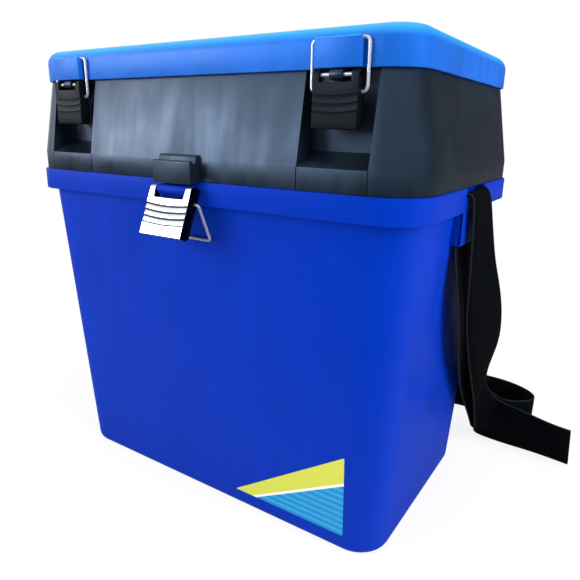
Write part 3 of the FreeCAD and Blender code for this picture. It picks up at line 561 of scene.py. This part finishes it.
class SEATBOX_OT_tray(bpy.types.Operator):
    """Builds the black tray section with its latch recesses, keeper, dividers and knuckles"""

    bl_idname = "seatbox.tray"
    bl_label = "Tray section"

    def execute(self, context):
        sizes = context.scene.seat_box
        spread = context.scene.seat_box_latches.spread / MM
        colours = context.scene.seat_box_colours
        low, band, high = sizes.rim_high / MM, sizes.band_high / MM, sizes.panel_high / MM
        outline, slope, collar, clearance = (193.6, 123.0, 35.0), 11.0, 5.0, 0.6
        # a collar below fits inside the bin's mouth, and one above inside the lid
        mouth = inset((sizes.neck_width / MM, sizes.neck_depth / MM, NECK_CORNER), WALL + clearance)
        shoulder, inner = inset(outline, slope), inset(outline, WALL)
        upper = inset(shoulder, 1.0)
        rings = [(*inset(mouth, 2.0), low), (*inset(mouth, 2.0), low - collar), (*mouth, low - collar),
                 (*mouth, low), (*outline, low), (*outline, band), (*shoulder, high),
                 (*upper, high), (*upper, high + collar), (*inset(upper, WALL), high + collar),
                 (*inset(upper, WALL), high), (*inner, band), (*inner, low + 3.2)]
        shell = bmesh.new()
        add_ring_stack(shell, rings)
        soften(shell, shell.edges, sizes.edge_soft / MM, sharper_than=40)
        # each latch recess is a housing joined on from inside, then hollowed; a shallow seam runs
        # down the band below each of its sides
        housings, hollows = bmesh.new(), bmesh.new()
        recess, seam_half = 26.6, 0.4
        for sign in SIDES.values():
            x = sign * spread
            add_bar(housings, [(-120.6, band - 4), (-98.6, 316.1), (-98.6, high + 2.5),
                               (-109.4, high + 2.5)], x - recess - WALL, x + recess + WALL, soft=0)
            add_bar(hollows, [(-130.0, band), (-123.2, band), (-101.6, 319.6), (-101.6, high),
                              (-130.0, high)], x - recess, x + recess, soft=0)
            for seam in (x - recess, x + recess):
                add_block(hollows, (seam - seam_half, -124.0, low - 0.5),
                          (seam + seam_half, -122.4, band), soft=0)
        bm = carve(shell, housings, hollows)
        # one long divider and, behind it, a short one that ends at the sloping rear wall
        floor, near, far, top = low + 1.6, 20.0, 22.0, 350.0
        middle = (near + far) / 2
        add_block(bm, (-191.0, near, floor), (191.0, far, band), soft=0.3)
        add_block(bm, (-184.0, near, band - 1), (184.0, far, top), soft=0.3)
        add_bar(bm, [(middle, floor), (120.5, floor), (121.0, band), (114.0, top), (middle, top)],
                30.0, 32.0, soft=0.3)
        y, z = LATCH_PIVOT.y, LATCH_PIVOT.z
        lug, lug_half = 3.3, 4.75
        for sign in SIDES.values():
            x = sign * spread
            add_bar(bm, [(-100.6, z - 10), (-100.6, z + lug), (y, z + lug), (y, z - lug),
                         (-109.6, z - lug), (-101.6, z - 10)], x - lug_half, x + lug_half, soft=0.4)
            add_barrel(bm, y, z, lug, x - lug_half, x + lug_half, PIN_BORE)
            x = sign * HINGE_SPREAD
            add_bar(bm, [(121.5, low), (LOWER_HINGE_Y, low), (133.85, low + 3.85), (123, low + 14),
                         (121.5, low + 14)], x - INNER_HALF, x + INNER_HALF)
            add_barrel(bm, LOWER_HINGE_Y, low, LOWER_KNUCKLE, x - INNER_HALF, x + INNER_HALF,
                       HINGE_BORE)
            for start in OUTER_KNUCKLES:
                x = sign * HINGE_SPREAD + start
                add_bar(bm, [(113.6, high - 17), (115.1, high - 17), (123.84, high - 2.9),
                             (UPPER_HINGE_Y, high), (110.5, high)], x, x + OUTER_LENGTH)
                add_barrel(bm, UPPER_HINGE_Y, high, UPPER_KNUCKLE, x, x + OUTER_LENGTH, HINGE_BORE)
        keeper = [(-121, 294.5), (-121, 313.6), (-124.5, 313.6), (-126.4, 312.2), (-126.9, 307.3),
                  (-130.3, 307.3), (-130.5, 309.5), (-132.5, 309.5), (-133.5, 308.3), (-133.5, 292),
                  (-124.6, 292), (-124.6, 294.5)]
        add_bar(bm, keeper, -19.3, 19.3, soft=0.5)
        black = moulded_polypropylene("moulded_polypropylene_charcoal", tuple(colours.tray_black),
                                      linear("#A8CDFF"), streaks=0.8, rough=(0.28, 0.55), sheen=0.62)
        add_piece("tray_moulding", bm, black, "tray", ["tray_housing"])
        return {"FINISHED"}


class SEATBOX_OT_lid(bpy.types.Operator):
    """Builds the blue lid that is the seat, with ribs below and a catch for each front latch"""

    bl_idname = "seatbox.lid"
    bl_label = "Lid"

    def execute(self, context):
        sizes = context.scene.seat_box
        latches = context.scene.seat_box_latches
        colours = context.scene.seat_box_colours
        low, high, turn = sizes.panel_high / MM, sizes.lid_high / MM, sizes.lid_round / MM
        outline, inner = (185.0, 114.4, 26.5), (182.0, 111.4, 23.4)
        # a lip below the seat stands just inside the tray section's upper collar
        lip, lip_inner, roof = inset(inner, 4.2), inset(inner, 5.8), high - 3.2
        rings = [(*lip_inner, roof), (*lip_inner, low + 3.2), (*lip, low + 3.2), (*lip, low + 5),
                 (*inner, low + 5), (*inner, low), (*outline, low)]
        for step in range(9):
            angle = math.radians(90 * step / 8)
            cut = turn * (1 - math.cos(angle))
            rings.append((*inset(outline, cut), high - turn + turn * math.sin(angle)))
        bm = bmesh.new()
        add_ring_stack(bm, rings)
        soften(bm, bm.edges, sizes.edge_soft / MM * 0.7, sharper_than=40)
        rib_top, rib_low = high - 2.7, high - 9.2
        for share in (-0.6, -0.2, 0.2, 0.6):
            x = share * outline[0]
            add_block(bm, (x - 1, -106.1, rib_low), (x + 1, 106.1, rib_top), soft=0.3)
        for share in (-0.35, 0.35):
            y = share * outline[1]
            add_block(bm, (-176.7, y - 1, rib_low), (176.7, y + 1, rib_top), soft=0.3)
        half = latches.lever_half / MM
        catch = [(-113, low), (-113, 386.4), (-118.4, 386.4), (-118.4, 389.2), (-120.1, 389.2),
                 (-120.9, 388), (-120.9, low)]
        for sign in SIDES.values():
            x = sign * latches.spread / MM
            add_bar(bm, catch, x - half, x + half, soft=0.5)
            x = sign * HINGE_SPREAD
            add_bar(bm, [(112.9, low), (UPPER_HINGE_Y, low), (123.84, low + 2.9), (114.4, low + 13),
                         (112.9, low + 13)], x - INNER_HALF, x + INNER_HALF)
            add_barrel(bm, UPPER_HINGE_Y, low, UPPER_KNUCKLE, x - INNER_HALF, x + INNER_HALF, HINGE_BORE)
        # the lid's faces turned up get a painted highlight in a paler blue
        blue = moulded_polypropylene("moulded_polypropylene_bright_blue", tuple(colours.lid_blue),
                                     linear("#6CA8FF"), top_highlight=linear("#26A0E8"), rough=(0.34, 0.46))
        add_piece("lid_moulding", bm, blue, "lid", ["lid"])
        return {"FINISHED"}


def add_lever(bm, half, front, back, drop, notch, grooves):
    """A latch lever about its pin: a bowed, stepped front plate with cheeks and a foot, open
    behind. notch is the half width and depth of its cut-out; grooves are the steps' heights."""
    notch_half, notch_drop = notch
    # the steps sag by this at the middle, and the foot stops this far short of the cheeks
    sag, short, near = 1.4, 2.6, 1e-4
    shaded = bm.faces.layers.float.new("shaded")
    outer = [-half, -half + 1.2, -(half + notch_half) / 2, -notch_half]
    inner = [notch_half * share for share in (-0.66, -0.33, 0.0, 0.33, 0.66)]
    columns = outer + inner + [-x for x in reversed(outer)]
    rows = [(0.0, 2.9), (-front * 0.5, 2.5), (-front * 0.87, 1.4), (-front, 0.0), (-front, -notch_drop),
            (-front, grooves[0] + 1.6)]
    for i, z in enumerate(grooves):
        rows += [(-front, z + 1.0), (0.9 - front, z + 0.7), (0.9 - front, z)]
        if i < len(grooves) - 1:
            rows.append((0.45 - front, z - 0.6))
    rows += [(-front, grooves[-1] - 0.4), (-front, (grooves[-1] - drop) / 2), (-front, -drop + 2.5),
             (0.3 - front, -drop + 0.6), (1.2 - front, -drop)]
    made = bmesh.ops.create_grid(bm, x_segments=len(columns) - 1, y_segments=len(rows) - 1, size=1.0)
    grid = sorted(made["verts"], key=lambda v: (round(-v.co.y, 4), round(v.co.x, 4)))
    last_step = grooves[-1] - 0.5
    for i, vert in enumerate(grid):
        y, z = rows[i // len(columns)]
        x = columns[i % len(columns)]
        if last_step < z < grooves[0] + 1.7:
            z -= sag * (1 - (x / half) ** 2)
        vert.co = (x, y, z)
    opened = [f for f in bm.faces if abs(f.calc_center_median().x) < notch_half
              and f.calc_center_median().z > -notch_drop]
    bmesh.ops.delete(bm, geom=opened, context="FACES")
    rim = [e for e in bm.edges if e.is_boundary and (
        all(abs(abs(v.co.x) - half) < near for v in e.verts)
        or all(v.co.z < -drop + near for v in e.verts))]
    for vert in verts_in(bmesh.ops.extrude_edge_only(bm, edges=rim)["geom"]):
        vert.co.y = back - (short if vert.co.z < -drop + 1 else 0)
    bmesh.ops.recalc_face_normals(bm, faces=bm.faces)
    # marks the cheeks and the bottoms of the steps, which a plated lever shows in painted shade
    for face in bm.faces:
        middle = face.calc_center_median()
        step = last_step - 1.6 < middle.z < grooves[0] + 0.4 and middle.y > 0.55 - front
        face[shaded] = 1.0 if step or abs(face.normal.x) > 0.7 else 0.0
    plate = min(bm.faces, key=lambda f: f.calc_center_median().y)
    if plate.normal.y > 0:
        bmesh.ops.reverse_faces(bm, faces=bm.faces)


def dress_lever(piece, wall):
    """Gives a lever's skin its thickness, inward, and softens its edges."""
    skin = piece.modifiers.new("wall", "SOLIDIFY")
    skin.thickness = wall * MM
    skin.offset = -1
    skin.use_even_offset = True
    edges = piece.modifiers.new("edges", "BEVEL")
    edges.width = 0.35 * MM
    edges.segments = 2
    edges.limit_method = "ANGLE"
    edges.angle_limit = math.radians(40)


def bail_corners(half, spread, rise, wire, direction):
    """The corners of one bail about its hole, from one end of the wire to the other."""
    inner, out = half - 2.0, half + wire + 0.9
    leg = [Vector((inner, 0, 0)), Vector((out, 0, 0)),
           Vector((spread, 0, direction * (spread - out) * 1.6)), Vector((spread, 0, direction * rise))]
    return leg + [Vector((-p.x, p.y, p.z)) for p in reversed(leg)]


class SEATBOX_OT_front_latches(bpy.types.Operator):
    """Builds the two black draw latches and the wire bails that hook over the lid"""

    bl_idname = "seatbox.front_latches"
    bl_label = "Front latches"

    def execute(self, context):
        sizes = context.scene.seat_box_latches
        colours = context.scene.seat_box_colours
        half, wire = sizes.lever_half / MM, sizes.wire / MM
        black = moulded_polypropylene("moulded_nylon_black", tuple(colours.lever_black),
                                      linear("#B4C8E0"), streaks=0.3, rough=(0.4, 0.52), sheen=0.12)
        steel = drawn_steel(tuple(colours.steel))
        for side, sign in SIDES.items():
            pivot = LATCH_PIVOT + Vector((sign * sizes.spread / MM, 0, 0))
            bm = bmesh.new()
            add_lever(bm, half, 3.5, 5.6, sizes.lever_drop / MM, (11.5, 4.5), (-12, -17, -22))
            bmesh.ops.translate(bm, vec=pivot, verts=bm.verts)
            lever = add_piece(f"{side}_lever_moulding", bm, black, f"{side}_lever",
                              [f"latch_lever_{side}"])
            dress_lever(lever, 2.0)
            bm = bmesh.new()
            add_wire(bm, bail_corners(half, sizes.bail_half / MM, sizes.bail_rise / MM, wire, 1), wire)
            bmesh.ops.translate(bm, vec=pivot + LATCH_HOLE, verts=bm.verts)
            add_piece(f"{side}_wire_bail", bm, steel, f"{side}_bail",
                      [f"latch_bail_{side}"])
        return {"FINISHED"}


class SEATBOX_OT_centre_latch(bpy.types.Operator):
    """Builds the silver centre latch and its loose wire bail"""

    bl_idname = "seatbox.centre_latch"
    bl_label = "Centre latch"

    def execute(self, context):
        sizes = context.scene.seat_box_latches
        colours = context.scene.seat_box_colours
        half, wire = sizes.centre_half / MM, sizes.wire / MM
        tilt = Matrix.Rotation(-sizes.lever_tilt, 4, "X")
        silver = plated_silver(tuple(colours.silver))
        steel = drawn_steel(tuple(colours.steel))
        bm = bmesh.new()
        add_lever(bm, half, 4.0, 6.0, sizes.centre_drop / MM, (15.7, 8.0), (-13, -18, -23, -28))
        bmesh.ops.transform(bm, matrix=Matrix.Translation(CENTRE_PIVOT) @ tilt, verts=bm.verts)
        lever = add_piece("centre_lever_moulding", bm, silver, "centre_lever",
                          ["centre_latch_lever"])
        dress_lever(lever, 1.7)
        hole = CENTRE_PIVOT + tilt @ CENTRE_HOLE
        bm = bmesh.new()
        corners = bail_corners(half, sizes.centre_bail_half / MM, sizes.centre_bail_rise / MM, wire, -1)
        add_wire(bm, corners, wire)
        lean = Matrix.Rotation(sizes.bail_lean, 4, "X")
        bmesh.ops.transform(bm, matrix=Matrix.Translation(hole) @ lean, verts=bm.verts)
        add_piece("centre_wire_bail", bm, steel, "centre_bail", ["centre_latch_bail"])
        return {"FINISHED"}


# The strap's route in millimetres: the middle of the webbing, then the direction across it. It
# runs from the sewn end over the left bracket, behind the bin, round on the ground beside it, up
# through the right bracket, and down again to the loose end.
STRAP = [
    ((-199.6, 0, 215), (0, 1, 0)), ((-203, 0, 240), (0, 1, 0)), ((-204, 0, 262), (0, 1, 0)),
    ((-203, 0, 280), (0, 1, 0)), ((-199.2, 0, 289), (0, 1, 0)), ((-194.2, 0, 290.6), (0, 1, 0)),
    ((-190.8, 0, 287.6), (0, 1, 0)), ((-189.9, 0, 280), (0, 1, 0)), ((-189.9, 0, 262), (0, 1, 0)),
    ((-189.9, 0, 245), (0, 1, 0)), ((-192, 8, 215), (0, 1, 0.2)), ((-194, 24, 180), (0, 1, 0.45)),
    ((-194, 50, 140), (0, 0.8, 0.7)), ((-193, 82, 100), (0, 0.6, 0.8)),
    ((-191, 115, 62), (0, 0.4, 0.9)), ((-186, 148, 36), (0, 0.2, 1)),
    ((-168, 176, 25.5), (0, 0, 1)), ((-135, 190, 24.6), (0, 0, 1)), ((-85, 196, 24.6), (0, 0, 1)),
    ((-30, 200, 24.6), (0, 0, 1)), ((30, 196, 24.6), (0, 0, 1)), ((85, 198, 24.6), (0, 0, 1)),
    ((135, 204, 24.6), (0, 0, 1)), ((177, 207, 24.6), (0, 0, 1)), ((203, 206, 24.6), (0, 0, 1)),
    ((226, 197, 24.6), (0, 0, 1)), ((239, 184, 24.6), (0, 0, 1)), ((239.5, 172, 24.6), (0, 0, 1)),
    ((230, 161.5, 24.6), (0, 0, 1)), ((219, 154, 24.6), (0, 0, 1)), ((206, 152.6, 25), (0, 0, 1)),
    ((195.4, 153.6, 26.4), (0, 0.05, 1)), ((188.6, 146, 34), (0, 0.3, 0.95)),
    ((186.6, 133, 48), (0, 0.5, 0.87)), ((187.6, 100, 80), (0, 0.6, 0.8)),
    ((189, 62, 115), (0, 0.7, 0.7)), ((192, 32, 150), (-0.05, 0.8, 0.6)),
    ((194.5, 11, 180), (-0.1, 0.95, 0.3)), ((195.5, -1, 205), (-0.1, 1, 0.1)),
    ((192.5, -3, 226), (-0.05, 1, 0)), ((189.9, 0, 246), (0, 1, 0)),
    ((189.9, 0, 262), (0, 1, 0)), ((189.9, 0, 280), (0, 1, 0)), ((190.8, 0, 287.6), (0, 1, 0)),
    ((194.3, 0, 290.6), (0, 1, 0)), ((198.2, 0.6, 289.5), (0, 1, 0)),
    ((200.4, 1.6, 282), (0.02, 1, 0)), ((201.6, 4, 266), (0.04, 1, 0)),
    ((202.8, 7.4, 246), (0.1, 0.99, 0)), ((204.2, 11.6, 224), (0.16, 0.98, 0)),
    ((205.6, 19, 200), (0.28, 0.9, 0.05)), ((206.4, 33, 174), (0.34, 0.8, 0.3)),
    ((206, 52, 138), (0.3, 0.7, 0.5)), ((202, 76, 104), (0.1, 0.7, 0.7)),
    ((196, 102, 74), (0, 0.6, 0.75)), ((193.6, 122, 52), (0, 0.45, 0.9)),
    ((193.6, 135, 36), (0, 0.3, 0.95)), ((199, 143, 27), (0, 0, 1)),
    ((212, 144, 25), (0, 0, 1)), ((230, 141.5, 24.8), (0, -0.1, 1)),
    ((248, 139, 24.4), (0, -0.22, 0.97)), ((266, 135, 24.1), (0, -0.3, 0.95)),
    ((284, 132.6, 24.1), (0, -0.3, 0.95)),
]


class SEATBOX_OT_strap(bpy.types.Operator):
    """Builds the shoulder strap as one run of woven webbing"""

    bl_idname = "seatbox.strap"
    bl_label = "Shoulder strap"

    def execute(self, context):
        sizes = context.scene.seat_box_strap
        colours = context.scene.seat_box_colours
        width = sizes.width / MM
        centres = [Vector(middle) for middle, _ in STRAP]
        bm = bmesh.new()
        layout = bm.loops.layers.uv.new("webbing")
        place, run, edge = {}, 0.0, None
        for i, (_, across) in enumerate(STRAP):
            along = (centres[min(i + 1, len(STRAP) - 1)] - centres[max(i - 1, 0)]).normalized()
            across = Vector(across)
            across = (across - along * across.dot(along)).normalized() * width / 2
            if edge is None:
                verts = [bm.verts.new(centres[i] - across), bm.verts.new(centres[i] + across)]
                edge = bm.edges.new(verts)
            else:
                run += (centres[i] - centres[i - 1]).length
                near, far = verts
                edge = edges_in(bmesh.ops.extrude_edge_only(bm, edges=[edge])["geom"])[0]
                verts = [next(v for v in edge.verts if any(e.other_vert(v) is old for e in v.link_edges))
                         for old in (near, far)]
                for vert, side in zip(verts, (-1, 1)):
                    vert.co = centres[i] + across * side
            for vert, side in zip(verts, (0.0, 1.0)):
                place[vert] = (side, run / width)
        for face in bm.faces:
            for loop in face.loops:
                loop[layout].uv = place[loop.vert]
        black = woven_webbing(tuple(colours.webbing), tuple(colours.edge_highlight), sizes.width,
                              sizes.thread)
        piece = add_piece("strap_webbing", bm, black, "bin", ["shoulder_strap"])
        curve = piece.modifiers.new("drape", "SUBSURF")
        curve.levels = curve.render_levels = 2
        curve.boundary_smooth = "PRESERVE_CORNERS"
        body = piece.modifiers.new("webbing", "SOLIDIFY")
        body.thickness = sizes.thickness
        body.offset = 0
        return {"FINISHED"}


class SEATBOX_OT_label(bpy.types.Operator):
    """Builds the plain three-cornered label at the foot of the bin's front"""

    bl_idname = "seatbox.label"
    bl_label = "Label"

    def execute(self, context):
        sizes = context.scene.seat_box
        foot = sizes.foot_depth / MM
        slope = (sizes.neck_depth / MM - foot) / (sizes.rim_low / MM)
        clear, thickness = 0.05, 0.15
        bm = bmesh.new()
        corners = [bm.verts.new((x, -(foot + slope * z) - clear, z))
                   for x, z in ((36.0, 16.0), (146.0, 16.0), (146.0, 91.0))]
        face = bm.faces.new(corners)
        outward = Vector((0, -1, -slope)).normalized()
        if face.normal.dot(outward) < 0:
            face.normal_flip()
        bmesh.ops.bevel(bm, geom=corners, offset=1.6, offset_type="OFFSET", segments=4, profile=0.5,
                        affect="VERTICES", material=-1)
        grown = bmesh.ops.extrude_face_region(bm, geom=bm.faces[:])
        bmesh.ops.translate(bm, vec=outward * thickness, verts=verts_in(grown["geom"]))
        bmesh.ops.recalc_face_normals(bm, faces=bm.faces)
        add_piece("front_label", bm, printed_label(), "bin")
        return {"FINISHED"}


class SEATBOX_OT_stage(bpy.types.Operator):
    """Sets the pale floor, the soft lights and the camera at the photograph's viewpoint"""

    bl_idname = "seatbox.stage"
    bl_label = "Stage"

    def execute(self, context):
        scene = context.scene
        camera = bpy.data.objects.new("camera", bpy.data.cameras.new("camera"))
        camera.data.sensor_width = 36.0
        camera.data.lens = FOCAL / PICTURE * camera.data.sensor_width
        camera.data.shift_x = (PICTURE / 2 - OPTICAL_CENTRE[0]) / PICTURE
        camera.data.shift_y = (OPTICAL_CENTRE[1] - PICTURE / 2) / PICTURE
        camera.data.clip_start = 0.02
        camera.location = [FIT_UNIT * place for place in CAMERA_PLACE]
        yaw, pitch, roll = (math.radians(a) for a in CAMERA_TURN)
        right = Vector((math.cos(yaw), math.sin(yaw), 0))
        ahead = Vector((-math.sin(yaw) * math.cos(pitch), math.cos(yaw) * math.cos(pitch),
                        -math.sin(pitch)))
        up = right.cross(ahead)
        tilted = math.cos(roll) * right + math.sin(roll) * up
        over = -math.sin(roll) * right + math.cos(roll) * up
        camera.rotation_euler = Matrix((tilted, over, -ahead)).transposed().to_euler()
        scene.collection.objects.link(camera)
        scene.camera = camera
        scene.view_settings.view_transform = "Standard"

        half, below = 6000.0, 0.05
        bm = bmesh.new()
        bmesh.ops.create_grid(bm, x_segments=1, y_segments=1, size=half)
        bmesh.ops.translate(bm, vec=(0, 0, -below), verts=bm.verts)
        floor = bpy.data.objects.new("floor", mesh_from(bm, "floor"))
        scene.collection.objects.link(floor)
        made, tree, shader = finish("matt_paper_floor", Roughness=0.9,
                                    Base_Color=(*linear("#F6F6F6"), 1))
        # the camera sees the paper at a plain white, with part of the box's shadow close to it
        glare = node(tree, "ShaderNodeEmission", Strength=1.0)
        rays = node(tree, "ShaderNodeLightPath")
        place = node(tree, "ShaderNodeTexCoord").outputs["Object"]
        far = node(tree, "ShaderNodeVectorMath", {0: place}, operation="LENGTH")
        fade = node(tree, "ShaderNodeMapRange", {"Value": far.outputs["Value"]},
                    From_Min=0.4, From_Max=1.3, To_Min=0.82)
        share = node(tree, "ShaderNodeMath", {0: rays.outputs["Is Camera Ray"],
                                              1: fade.outputs["Result"]}, operation="MULTIPLY")
        paper = node(tree, "ShaderNodeMixShader", {0: share.outputs[0], 1: shader.outputs[0],
                                                   2: glare.outputs[0]})
        # the satin plastics mirror a dim floor, so that their own colour stays deep
        dim = node(tree, "ShaderNodeEmission", Strength=0.2)
        floor_look = node(tree, "ShaderNodeMixShader", {0: rays.outputs["Is Glossy Ray"],
                                                        1: paper.outputs[0], 2: dim.outputs[0]})
        tree.links.new(floor_look.outputs[0], tree.nodes["Material Output"].inputs["Surface"])
        floor.data.materials.append(made)

        world = bpy.data.worlds.new("studio")
        world.use_nodes = True
        tree = world.node_tree
        backdrop = tree.nodes["Background"]
        backdrop.inputs["Color"].default_value = (1, 1, 1, 1)
        rays = node(tree, "ShaderNodeLightPath")
        seen = node(tree, "ShaderNodeMath", {0: rays.outputs["Is Camera Ray"],
                                             1: rays.outputs["Is Transmission Ray"]}, operation="MAXIMUM")
        # what a shiny face mirrors: white, but a dim room behind the box and to its right
        arriving = node(tree, "ShaderNodeNewGeometry").outputs["Incoming"]
        behind = node(tree, "ShaderNodeVectorMath", {0: arriving, 1: (-0.5, -0.87, 0.0)},
                      operation="DOT_PRODUCT")
        room = node(tree, "ShaderNodeMapRange", {"Value": behind.outputs["Value"]},
                    From_Min=0.1, From_Max=0.75, To_Min=1.0, To_Max=0.12)
        lit = node(tree, "ShaderNodeMix", {"Factor": rays.outputs["Is Glossy Ray"],
                                           "B": room.outputs["Result"]}, data_type="FLOAT", A=0.55)
        level = node(tree, "ShaderNodeMix", {"Factor": seen.outputs[0], "A": lit.outputs["Result"]},
                     data_type="FLOAT", B=1.0)
        tree.links.new(level.outputs["Result"], backdrop.inputs["Strength"])
        scene.world = world

        lamps = [
            ("window", (-1.25, -1.50, 0.90), (0.0, -0.1, 0.34), 1.0, 36.0, True),
            ("fill", (1.6, -0.15, 0.85), (0.1, 0.0, 0.28), 1.0, 34.0, False),
            ("ceiling", (0.1, -0.1, 1.9), (0.0, 0.0, 0.3), 1.6, 12.0, False),
        ]
        for name, place, aim, size, power, mirrored in lamps:
            light = bpy.data.lights.new(name, "AREA")
            light.shape = "SQUARE"
            light.size = size
            light.energy = power
            lamp = bpy.data.objects.new(name, light)
            lamp.location = place
            lamp.rotation_euler = (Vector(aim) - Vector(place)).to_track_quat("-Z", "Y").to_euler()
            lamp.visible_glossy = mirrored
            scene.collection.objects.link(lamp)
        return {"FINISHED"}


class SEATBOX_OT_hinges(bpy.types.Operator):
    """Dresses the hinge rods and latch pins that stay as the part has them"""

    bl_idname = "seatbox.hinges"
    bl_label = "Rods and pins"

    def execute(self, context):
        colours = context.scene.seat_box_colours
        steel = drawn_steel(tuple(colours.steel))
        for name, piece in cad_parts.items():
            if "_pin" in name:
                piece.data.materials.clear()
                piece.data.materials.append(steel)
        return {"FINISHED"}


STEPS = [SEATBOX_OT_stage, SEATBOX_OT_strap, SEATBOX_OT_bin, SEATBOX_OT_tray, SEATBOX_OT_lid,
         SEATBOX_OT_front_latches, SEATBOX_OT_centre_latch, SEATBOX_OT_hinges, SEATBOX_OT_label]
GROUPS = {"seat_box": BoxSizes, "seat_box_latches": LatchSizes, "seat_box_strap": StrapSizes,
          "seat_box_colours": BoxColours}


class SEATBOX_PT_panel(bpy.types.Panel):
    """Lists the seat box's sizes, colours and steps"""

    bl_idname = "SEATBOX_PT_panel"
    bl_label = "Seat Box"
    bl_space_type = "VIEW_3D"
    bl_region_type = "UI"
    bl_category = "Seat Box"

    def draw(self, context):
        for name, group in GROUPS.items():
            column = self.layout.column(align=True)
            for prop in group.__annotations__:
                column.prop(getattr(context.scene, name), prop)
        for step in STEPS:
            self.layout.operator(step.bl_idname)


def register():
    for item in (*GROUPS.values(), *STEPS, SEATBOX_PT_panel):
        bpy.utils.register_class(item)
    for name, group in GROUPS.items():
        setattr(bpy.types.Scene, name, PointerProperty(type=group))


def unregister():
    for name in GROUPS:
        delattr(bpy.types.Scene, name)
    for item in reversed((*GROUPS.values(), *STEPS, SEATBOX_PT_panel)):
        bpy.utils.unregister_class(item)


def main():
    register()
    for step in STEPS:
        family, name = step.bl_idname.split(".")
        getattr(getattr(bpy.ops, family), name)()


if __name__ == "__main__":
    main()
